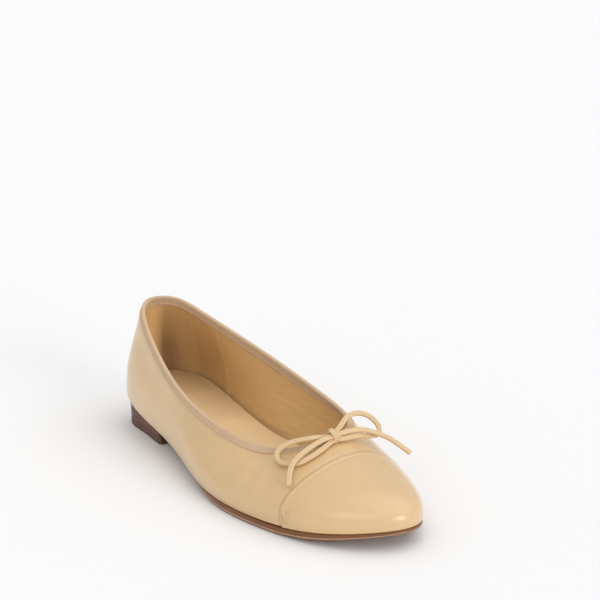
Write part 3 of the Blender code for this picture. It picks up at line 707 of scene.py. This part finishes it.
def upper_outside(t, s):
    """Distance of the upper's outer face from the last: it swells over the counter and the sole's edge, is
    drawn in at the waist, the back seam and below the ribbon, and passes under the cap."""
    heel = heel_share(t)
    over_counter = (1 - smooth(heel, 0.13, 0.21)) * smooth(s, 0, 0.03) * (1 - smooth(s, 0.30, 0.85))
    back_seam = 0.25 * MM * np.exp(-((heel / 0.0009) ** 2)) * smooth(s, -0.5, 0.0)
    x = wall(t, np.clip(s, 0, 1))[..., 0]
    by_cap = 0.32 * MM * smooth(x, CAP_SEAM - 22 * MM, CAP_SEAM - 2 * MM)
    by_cap = by_cap - 0.22 * MM * np.exp(-(((x - CAP_SEAM + 0.2 * MM) / (0.8 * MM)) ** 2))
    under_cap = 1.07 * MM * smooth(x, CAP_SEAM + 0.2 * MM, CAP_SEAM + 2.5 * MM) - by_cap
    below = (1 - s) * wall_scale(t)
    under_ribbon = SKIVED_UNDER_RIBBON * (1 - smooth(below, 1.0 * MM, 3.0 * MM))
    under_ribbon = under_ribbon + SKIVED_BESIDE_RIBBON * (1 - smooth(below, 3.0 * MM, 7.0 * MM))
    roll = bottom_roll(s) * (1 - 0.9 * hump(x, 64 * MM, 36 * MM))
    waist = 0.7 * MM * hump(x, 60 * MM, 26 * MM) * hump(s, -0.35, 0.6)
    swell = COUNTER_ROOM * over_counter + roll + soft_form(t, s)
    return UPPER_OUTSIDE + swell - waist - back_seam - under_cap - under_ribbon


TUCK = [-1.6, -1.2, -1.0, -0.8, -0.6, -0.45, -0.3, -0.15]  # places s round the feather edge and under it


def upper_leather():
    columns = even_places(feather, 0, 1, 561)[:-1]
    beside_seam = np.array([0.0005, 0.0009, 0.0013, 0.0018, 0.0024])
    t = np.unique(np.concatenate([columns, beside_seam, 1 - beside_seam]))
    outer_s = np.concatenate([TUCK, np.linspace(0, 1, 72)])
    inner_s = np.concatenate([[-1.6, -1.0, -0.5], np.linspace(0, 1, 14)])
    outside = upper_outside(t[:, None], outer_s[None, :])
    points = shell(t, outer_s, outside, inner_s, np.full((len(t), len(inner_s)), UPPER_INSIDE))
    place("upper_leather", grid_mesh("upper_leather", points), CALF, "upper_leather", ["upper"])


def seam_line(ahead, distance):
    """The curve across the foot ahead of the cap's seam, at a distance from the last."""

    def curve(t):
        s = wall_at(t, CAP_SEAM + ahead)
        return skin(t, s, np.full_like(t, distance))

    return curve


STITCH_ROW = 2.3 * MM  # from the cap's folded edge
STITCH_GROOVE = 0.20 * MM
ROW_EASE = 2.0 * MM  # the cap's rows rise this softly from the feather edge
EDGE_EASE = 0.5 * MM
# The cap's folded edge: millimetres ahead of the seam, and from the last.
FOLD = [(0.9, 2.72), (0.62, 2.7), (0.4, 2.66), (0.22, 2.58), (0.1, 2.46), (0.03, 2.3), (0, 2.1), (0, 1.7)]


def cap_leather():
    t = even_places(seam_line(0.0, CAP_OUTSIDE), CAP_OUTER, CAP_INNER, 300)
    feet = even_places(feather, CAP_OUTER, CAP_INNER, 300)
    t = 0.5 * t + 0.5 * feet
    share = np.linspace(0, 1, 46)
    ahead = np.array([5.0, 4.4, 3.9, 3.5, 3.1, 2.8, 2.5, 2.3, 2.1, 1.8, 1.5, 1.2])

    def row_at(step, ease):
        """How far up the wall the row a step ahead of the seam lies, eased in from the feather edge."""
        x = CAP_SEAM + step * MM
        return wall_at(t, x) * smooth(feather(t)[:, 0] - x, 0, ease)

    top = row_at(5.6, ROW_EASE)
    s_rows = [np.full_like(t, s) for s in TUCK] + [u * top for u in share]
    d_rows = [np.full_like(t, CAP_OUTSIDE) for _ in s_rows]
    for step in ahead:
        groove = math.exp(-(((step - STITCH_ROW / MM) / 0.45) ** 2))
        row = row_at(step, ROW_EASE)
        s_rows.append(row)
        d_rows.append(CAP_OUTSIDE - STITCH_GROOVE * groove * smooth(row, 0.01, 0.10))
    for step, level in FOLD:
        s_rows.append(row_at(step, EDGE_EASE))
        d_rows.append(np.full_like(t, level * MM))
    s, distance = np.stack(s_rows, 1), np.stack(d_rows, 1)
    body = wall(t[:, None], np.clip(s, 0, 1))
    distance = distance + 0.05 * MM * rough(body, 12 * MM, 4.0) * smooth(s, 0.0, 0.2)
    distance = distance + bottom_roll(s)
    inner_rows = [np.full_like(t, s) for s in (-1.6, -1.0)]
    inner_rows += [u * row_at(0.3, EDGE_EASE) for u in np.linspace(0, 1, 10)]
    inner_s = np.stack(inner_rows, 1)
    points = shell(t, s, distance, inner_s, np.full_like(inner_s, CAP_INSIDE))
    mesh = grid_mesh("cap_leather", points, around=False)
    place("cap_leather", mesh, CAP_CALF, "upper_leather", ["toe_cap"])


def stitches(name, path, normals, pitch, share, radius, finish, sink=0.3):
    """A row of thread stitches: each a small bead pressed into the leather."""
    along = lengths(path)
    count = int(along[-1] // pitch)
    bm = bmesh.new()
    for i in range(count):
        middle = (i + 0.5) * pitch
        point = np.array([np.interp(middle, along, path[:, k]) for k in range(3)])
        ahead = np.array([np.interp(middle + pitch / 3, along, path[:, k]) for k in range(3)])
        normal = unit(np.array([np.interp(middle, along, normals[:, k]) for k in range(3)]))
        run = unit(ahead - point)
        side = np.cross(normal, run)
        bead = bmesh.ops.create_uvsphere(bm, u_segments=8, v_segments=6, radius=1.0)
        half = 0.5 * share * pitch
        centre = point - sink * radius * normal
        for vertex in bead["verts"]:
            x, y, z = vertex.co
            bulge = math.copysign(abs(z) ** 0.6, z)
            vertex.co = centre + run * half * bulge + side * radius * x + normal * radius * y
    for vertex in bm.verts:
        vertex.co.x += LAST_BACK
    mesh = bpy.data.meshes.new(name)
    bm.to_mesh(mesh)
    bm.free()
    return place(name, mesh, finish, "cord", angle=80)


def cap_stitching():
    t = even_places(seam_line(STITCH_ROW, CAP_OUTSIDE), CAP_OUTER + 0.006, CAP_INNER - 0.006, 300)
    s = wall_at(t, CAP_SEAM + STITCH_ROW)
    keep = s > 0.05
    normal, _ = wall_frame(t, s)
    path = skin(t, s, np.full_like(t, CAP_OUTSIDE - 0.05 * MM))
    stitches("cap_stitching", path[keep], normal[keep], 1.9 * MM, 0.72, 0.2 * MM, THREAD)


upper_leather()
cap_leather()
cap_stitching()


# --- Topline ribbon -------------------------------------------------------------------------------
RIB = 1.0 * MM  # pitch of the ribbon's cross ribs
RIB_HEIGHT = 0.24 * MM
PER_RIB = 4  # sections for each rib
RIBBON_MIDDLE = 0.55 * MM  # distance of the folded ribbon's middle from the last


def ribbon_profile():
    """The ribbon's section, from its outer lower edge over the fold to its inner lower edge and back inside:
    distance from the middle of the leather, and height above the topline."""
    outer = [(1.05, -2.96), (1.28, -2.96), (1.38, -2.89), (1.42, -2.72), (1.40, -2.3), (1.32, -1.8),
             (1.20, -1.2), (1.07, -0.5), (0.97, 0.1)]
    over = [(0.97 * math.cos(a), 0.30 + 0.82 * math.sin(a)) for a in np.linspace(0.14, math.pi - 0.14, 13)]
    inner = [(-0.95, 0.1), (-0.95, -0.8), (-0.94, -1.8), (-0.92, -2.8), (-0.88, -3.3), (-0.83, -3.6),
             (-0.89, -3.9), (-0.93, -4.3), (-0.91, -4.6), (-0.85, -4.75), (-0.55, -4.78)]
    back = [(-0.5, -2.5), (-0.5, 0.1), (-0.2, 0.6), (0.2, 0.6), (0.5, 0.1), (0.5, -2.2)]
    return np.array(outer + over + inner) * MM, np.array(back) * MM


def ribbon():
    def topline(t):
        return wall(t, np.ones_like(t))

    length = lengths(topline(np.linspace(0, 1, 3000)))[-1]
    ribs = round(length / RIB)
    t = even_places(topline, 0, 1, ribs * PER_RIB + 1)[:-1]
    _, up = wall_frame(t, np.ones_like(t))
    edge = topline(t)
    height = wall_scale(t)
    face, back = ribbon_profile()
    tangent = unit(np.gradient(face, axis=0))
    out = np.stack([-tangent[:, 1], tangent[:, 0]], -1)
    out *= np.sign(np.sum(out * (face - [0, -1 * MM]), -1, keepdims=True))
    phase = np.cos(2 * math.pi * np.arange(len(t)) / PER_RIB)
    wave = 0.12 * MM * rough(edge, 9 * MM, 2.0)
    rings = []
    for k, (across, rise) in enumerate(np.concatenate([face, back])):
        lift = RIB_HEIGHT * phase if k < len(face) else np.zeros_like(phase)
        toward = out[k] if k < len(face) else np.zeros(2)
        a = across + lift * toward[0]
        b = rise + lift * toward[1] + wave * (rise < -1 * MM)
        beside = skin(t, 1 + np.minimum(b, 0) / height, RIBBON_MIDDLE + a)
        rings.append(beside + up * np.maximum(b, 0)[:, None])
    mesh = grid_mesh("ribbon_binding", np.stack(rings, 1))
    place("ribbon_binding", mesh, RIBBON, "ribbon", ["topline_binding"], angle=75)
    ribbon_stitching(t[::8])


def ribbon_stitching(t):
    """The rows that hold the ribbon's lower edges, outside and inside."""
    for name, distance, sewn, finish, pitch in (
        ("ribbon_stitching_outer", RIBBON_MIDDLE + 1.34 * MM, 2.4 * MM, RIBBON, 1.8 * MM),
        ("ribbon_stitching_inner", RIBBON_MIDDLE - 0.84 * MM, 3.6 * MM, PALE_THREAD, 1.5 * MM),
    ):
        s = 1 - sewn / wall_scale(t)
        path = skin(t, s, np.full_like(t, distance))
        normals, _ = wall_frame(t, s)
        facing = normals if distance > 0 else -normals
        stitches(name, path, facing, pitch, 0.80, 0.19 * MM, finish)


ribbon()


# --- Lining and sock ------------------------------------------------------------------------------
def lining_relief(t, s):
    """Long soft creases in the forepart and faint upright ones at the heel."""
    point = wall(t, np.clip(s, 0, 1))
    x = point[..., 0]
    creases = rough(point, 2.6 * MM, 8.0, (10, 1, 1)) * smooth(x, 60 * MM, 110 * MM)
    upright = rough(point, 5 * MM, 2.5, (1, 1, 7)) * (1 - smooth(x, 20 * MM, 50 * MM))
    body = smooth(s, 0.0, 0.1) * (1 - smooth(s, 0.85, 0.97))
    return body * (0.32 * MM * creases + 0.24 * MM * upright + 0.16 * MM * rough(point, 15 * MM, 6.0))


def lining(name, node, low, high, count, lap):
    """One lining from place low to place high round the foot, its lapped edges rounded and raised."""
    t = even_places(feather, low, high, count)
    edge = lengths(feather(t))
    from_end = np.minimum(edge, edge[-1] - edge)
    inner_s, outer_s = np.linspace(0, 1, 60), np.linspace(0, 1, 12)
    grid_t = np.broadcast_to(t[:, None], (count, len(inner_s)))
    raised = lap * (1 - smooth(from_end, 3 * MM, 9 * MM)) * smooth(from_end, 0, 0.6 * MM)
    inside = -raised[:, None] - lining_relief(grid_t, inner_s[None, :])
    points = shell(t, outer_s, np.full((count, len(outer_s)), LINING), inner_s, inside)
    place(name, grid_mesh(name, points, around=False), LINING_CALF, "lining", [node])


LAP = 0.3 * MM  # how far the quarter's lining stands up over the vamp's


OVERLAP = 0.0045  # of the two linings, as a share of the way round


def linings():
    behind, ahead = SEAM_INNER - OVERLAP, 1 + SEAM_OUTER + OVERLAP
    lining("quarter_lining_leather", "quarter_lining", behind, ahead, 200, LAP)
    lining("vamp_lining_leather", "vamp_lining", SEAM_OUTER - OVERLAP, SEAM_INNER + OVERLAP, 460, 0.0)
    s = np.linspace(0.16, 0.80, 60)
    for side, t in (("outer", SEAM_OUTER + 0.002), ("inner", SEAM_INNER - 0.002)):
        name = "lining_stitching_" + side
        row = np.full_like(s, t)
        normal, _ = wall_frame(row, s)
        path = skin(row, s, np.full_like(s, -LAP - 0.02 * MM))
        stitches(name, path, -normal, 1.9 * MM, 0.7, 0.14 * MM, LINING_THREAD)


def offset_outline(outline, distance):
    ahead, behind = np.roll(outline, -1, 0), np.roll(outline, 1, 0)
    along = ahead - behind
    out = unit(np.stack([along[:, 1], -along[:, 0]], -1))
    return outline + distance[:, None] * out if np.ndim(distance) else outline + distance * out


def cut_across(bm, outline, spacing):
    """Cut the flat faces into strips both ways, so that they can bend."""
    low, high = outline.min(0), outline.max(0)
    for axis in (0, 1):
        steps = max(2, round((high[axis] - low[axis]) / spacing))
        for i in range(1, steps):
            point, normal = [0.0, 0.0, 0.0], [0.0, 0.0, 0.0]
            point[axis] = low[axis] + (high[axis] - low[axis]) * i / steps
            normal[axis] = 1.0
            flat = [face for face in bm.faces if abs(face.normal.z) > 0.99 or len(face.verts) > 4]
            parts = dict.fromkeys(part for face in flat for part in (*face.verts, *face.edges))
            bmesh.ops.bisect_plane(bm, geom=[*parts, *flat], dist=1e-7, plane_co=point, plane_no=normal)
            bm.normal_update()


def slab(name, outline, rings, top, bottom, spacing, relief=None):
    """A flat piece inside an outline, its edge shaped by rings of offset (millimetres) and share of the
    height, bent between two heights."""
    bm = bmesh.new()
    loops = []
    for offset, share in rings:
        edge = offset_outline(outline, offset * MM)
        loops.append([bm.verts.new((x, y, share)) for x, y in edge])
    count = len(outline)
    for lower, upper in zip(loops, loops[1:]):
        for i in range(count):
            j = (i + 1) % count
            bm.faces.new([lower[i], lower[j], upper[j], upper[i]])
    bm.faces.new(list(reversed(loops[0])))
    bm.faces.new(loops[-1])
    cut_across(bm, outline, spacing)
    x, y, share = np.array([vertex.co for vertex in bm.verts]).T
    z = bottom(x, y) + share * (top(x, y) - bottom(x, y))
    if relief is not None:
        z = z + relief(x, y) * (share > 0.5)
    for vertex, level in zip(bm.verts, z):
        vertex.co = (vertex.co.x + LAST_BACK, vertex.co.y, level)
    bmesh.ops.recalc_face_normals(bm, faces=bm.faces[:])
    mesh = bpy.data.meshes.new(name)
    bm.to_mesh(mesh)
    bm.free()
    return mesh


def outline_round(count):
    t = even_places(feather, 0, 1, count + 1)[:-1]
    return feather(t)[:, :2]


PAD = 1.9 * MM
SOCK = 0.9 * MM
SOCK_FLOOR = 2.3 * MM  # top of the insole board and the gap over it, above the board's underside


def pad_crown(x, y):
    half = 22 * MM
    return smooth(72 * MM - x, 0, 30 * MM) * (1 - smooth(np.abs(y), 0.4 * half, half))


def sock():
    def under(x, y):
        return sole_height(x) + SOCK_FLOOR + 0.7 * MM + (PAD - 0.4 * MM) * pad_crown(x, y)

    def over(x, y):
        return under(x, y) + SOCK

    def worn(x, y):
        point = np.stack([x, y, 0 * x], -1)
        dish = 0.35 * MM * hump(x, 172 * MM, 40 * MM) * hump(y, 0.0, 30 * MM)
        return 0.18 * MM * rough(point, 16 * MM, 3.3) + 0.08 * MM * rough(point, 5 * MM, 1.1) - dish

    rings = [(-1.0, 0.0), (-0.9, 0.3), (-0.95, 0.75), (-1.1, 0.92), (-1.4, 1.0), (-1.9, 1.02), (-2.6, 1.0)]
    mesh = slab("sock_leather", outline_round(520), rings, over, under, 3 * MM, worn)
    place("sock_leather", mesh, SOCK_CALF, "sock_leather", ["sock"], angle=60)


linings()
sock()


# --- Sole and heel --------------------------------------------------------------------------------
def outsole_top(x, y=0.0):
    cap_drop = CAP_OUTSIDE + GAP
    drop = UPPER_OUTSIDE + GAP
    return sole_height(x) - drop - (cap_drop - drop) * smooth(x, 168 * MM, 189 * MM)


def outsole_bottom(x, y=0.0):
    thick = OUTSOLE_WAIST + (OUTSOLE_FRONT - OUTSOLE_WAIST) * smooth(x, 85 * MM, 150 * MM)
    return outsole_top(x) - thick + TOE_TAPER * smooth(x, 200 * MM, 240 * MM)


def heel_proud(x):
    """The heel's outline stands out at the back and in at the breast."""
    return HEEL_BACK + (HEEL_SIDE - HEEL_BACK) * smooth(x, -6 * MM, 34 * MM)


def sole_proud(x):
    at_waist = (WAIST_SIDE - HEEL_SIDE) * smooth(x, 60 * MM, 78 * MM)
    in_front = (OUTSOLE_PROUD - WAIST_SIDE) * smooth(x, 76 * MM, 155 * MM)
    return heel_proud(x) + at_waist + in_front


SCUFFED_GLOSS_BAND = (0.29, 0.47)  # the pale ridge's share of the sole edge's height: scuffs and a painted highlight line


def outsole():
    outline = outline_round(640)
    outline = offset_outline(outline, sole_proud(outline[:, 0]))
    rings = [(-1.1, 0.0), (-0.70, 0.02), (-0.42, 0.08), (-0.18, 0.18), (0.0, 0.29), (0.08, 0.35),
             (0.04, 0.40), (-0.16, 0.47), (-0.20, 0.56), (-0.12, 0.80), (-0.18, 0.95), (-0.40, 1.06),
             (-0.8, 1.10), (-1.6, 1.06), (-2.4, 1.0)]
    mesh = slab("outsole_leather", outline, rings, outsole_top, outsole_bottom, 5 * MM)
    made = place("outsole_leather", mesh, SOLE_EDGE, "sole_leather", ["outsole"], angle=60)
    made.data.materials.append(SCUFFED_GLOSS_EDGE)
    # Faces of the ridge take the paler edge: scuffs and a painted highlight line.
    for face in made.data.polygons:
        x = face.center.x - LAST_BACK
        share = (face.center.z - outsole_bottom(x)) / (outsole_top(x) - outsole_bottom(x))
        if SCUFFED_GLOSS_BAND[0] < share < SCUFFED_GLOSS_BAND[1] and abs(face.normal.z) < 0.9:
            face.material_index = 1


def heel_outline(inset):
    """The heel's outline, cut off by a slightly hollow breast with small round corners."""
    corner = 0.9 * MM
    back = outline_round(520)
    back = offset_outline(back, inset + heel_proud(back[:, 0]))
    back = back[back[:, 0] < BREAST - corner]
    order = np.argsort(np.arctan2(back[:, 1], BREAST - back[:, 0]))
    back = back[order]
    first, last = back[0], back[-1]
    y = np.linspace(last[1] - corner, first[1] + corner, 24)
    hollow = 0.9 * MM * (1 - (2 * (y - y.min()) / (y.max() - y.min()) - 1) ** 2)
    front = np.stack([BREAST - hollow, y], -1)
    bend = np.linspace(0, math.pi / 2, 5)[1:-1]
    upper_corner = [(last[0] + corner * math.sin(a), last[1] - corner * (1 - math.cos(a))) for a in bend]
    lower_corner = [(first[0] + corner * math.cos(a), first[1] + corner * (1 - math.sin(a))) for a in bend]
    return np.concatenate([back, upper_corner, front, lower_corner])[::-1]


def heel():
    def level(share):
        return lambda x, y: TOP_PIECE + share * (outsole_bottom(x) - TOP_PIECE)

    def flat(height):
        return lambda x, y: 0 * x + height

    rings = [(-0.35, 0.0), (-0.10, 0.03), (0.0, 0.10), (0.0, 0.5), (0.0, 0.90), (-0.10, 0.97), (-0.35, 1.0)]
    for i in range(LIFTS):
        inset = -LIFT_STEP * (LIFTS - 1 - i)
        name = f"heel_lift_{i + 1}_leather"
        mesh = slab(name, heel_outline(inset), rings, level((i + 1) / LIFTS), level(i / LIFTS), 6 * MM)
        place(name, mesh, STACK, "heel_leather", [f"heel_lift_{i + 1}"], angle=60)
    outline = heel_outline(-TOP_PIECE_INSET)
    mesh = slab("top_piece_rubber", outline, rings, flat(TOP_PIECE), flat(0.0), 8 * MM)
    place("top_piece_rubber", mesh, RUBBER, "rubber", ["top_piece"], angle=60)


outsole()
heel()


# --- Pieces that the frame keeps ------------------------------------------------------------------
def inner_finishes():
    for name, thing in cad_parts.items():
        kind = "steel" if name.startswith(("shank", "heel_nail")) else name
        if kind in INNER:
            thing.data.materials.clear()
            thing.data.materials.append(INNER[kind])


inner_finishes()


# --- Floor and light ------------------------------------------------------------------------------
FLOOR_HALF = 6.0


def floor():
    n = Nodes("pale_floor")
    tint = n.noise(0.6, 2, 0.5)
    material = n.finish(n.mix(tint, (0.92, 0.92, 0.92), (0.93, 0.93, 0.93)), 0.7, Specular_IOR_Level=0.0)
    mesh = bpy.data.meshes.new("floor")
    corners = [(FLOOR_HALF * x, FLOOR_HALF * y, 0) for x, y in ((-1, -1), (1, -1), (1, 1), (-1, 1))]
    mesh.from_pydata(corners, [], [(0, 1, 2, 3)])
    mesh.materials.append(material)
    made = bpy.data.objects.new("floor", mesh)
    bpy.context.scene.collection.objects.link(made)


SHOE_MIDDLE = Vector((0.1, 0.0, 0.03))


def aim(azimuth, elevation, distance):
    """Place and turn of a light that looks at the shoe from an azimuth and elevation."""
    a, e = math.radians(azimuth), math.radians(elevation)
    back = Vector((math.sin(a) * math.cos(e), -math.cos(a) * math.cos(e), math.sin(e)))
    turn = back.to_track_quat("Z", "Y").to_matrix().to_4x4()
    return Matrix.Translation(SHOE_MIDDLE + distance * back) @ turn


def sun(name, azimuth, elevation, softness, strength):
    """A soft light; azimuth, elevation and softness in degrees."""
    data = bpy.data.lights.new(name, "SUN")
    data.angle = math.radians(softness)
    data.energy = strength
    made = bpy.data.objects.new(name, data)
    made.matrix_world = aim(azimuth, elevation, 3.0)
    bpy.context.scene.collection.objects.link(made)


def lights():
    world = bpy.data.worlds.new("studio")
    world.use_nodes = True
    bpy.context.scene.world = world
    shade = world.node_tree.nodes["Background"]
    shade.inputs["Color"].default_value = (1.0, 1.0, 1.0, 1)
    shade.inputs["Strength"].default_value = 0.66
    sun("overhead", 145, 68, 70, 0.84)
    sun("right_softbox", 95, 14, 25, 0.90)
    sun("front_softbox", 34, 36, 38, 0.36)


floor()
lights()
bpy.context.scene.view_settings.view_transform = "Standard"
